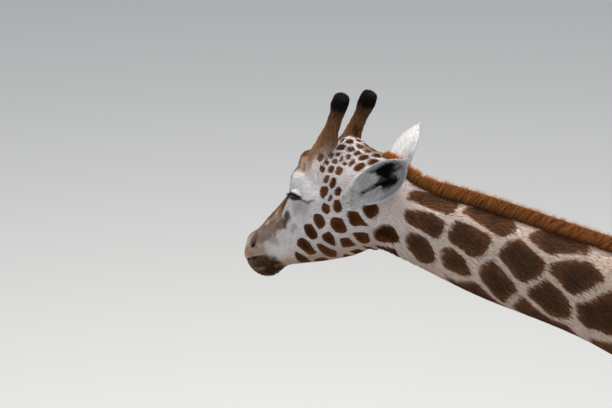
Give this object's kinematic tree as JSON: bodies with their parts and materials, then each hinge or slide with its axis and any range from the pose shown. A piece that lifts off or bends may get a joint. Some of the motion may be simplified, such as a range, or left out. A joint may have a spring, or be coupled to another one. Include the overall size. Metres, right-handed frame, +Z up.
{
  "type": "giraffe",
  "caption": "Life-size still model of a standing giraffe, its neck stretched low and forward and its head turned slightly aside, as if browsing.",
  "frame": {"origin": "on the floor, under the centre of the bounding box", "axes": "the giraffe faces -Y; +Z up; its left side is +X"},
  "size_m": [0.7042, 3.7274, 3.0999],
  "materials": {
    "coat": "short flat hair, brown patches on cream",
    "face": "very short hair, pale grey with small dark spots",
    "ear": "thin skin with short pale hair",
    "mane": "stiff upright red-brown hair",
    "ossicone": "short brown hair over bone, black at the tip",
    "tail_hair": "long coarse black hair",
    "hair_dark": "short stiff black hair",
    "hoof": "worn dark horn",
    "eye": "wet and dark"
  },
  "bodies": {
    "root": {"head": "face", "neck_upper": "coat", "neck_lower": "coat", "trunk": "coat", "mane": "mane", "ear_left": "ear", "ear_right": "ear", "eye_left": "eye", "eye_right": "eye", "ossicone_left": "ossicone", "ossicone_right": "ossicone", "fore_leg_left": "coat", "fore_leg_right": "coat", "hind_leg_left": "coat", "hind_leg_right": "coat", "hoof_fore_left_inner": "hoof", "hoof_fore_left_outer": "hoof", "hoof_fore_right_inner": "hoof", "hoof_fore_right_outer": "hoof", "hoof_hind_left_inner": "hoof", "hoof_hind_left_outer": "hoof", "hoof_hind_right_inner": "hoof", "hoof_hind_right_outer": "hoof", "tail": "coat", "tail_tuft": "tail_hair"}
  },
  "joints": []
}
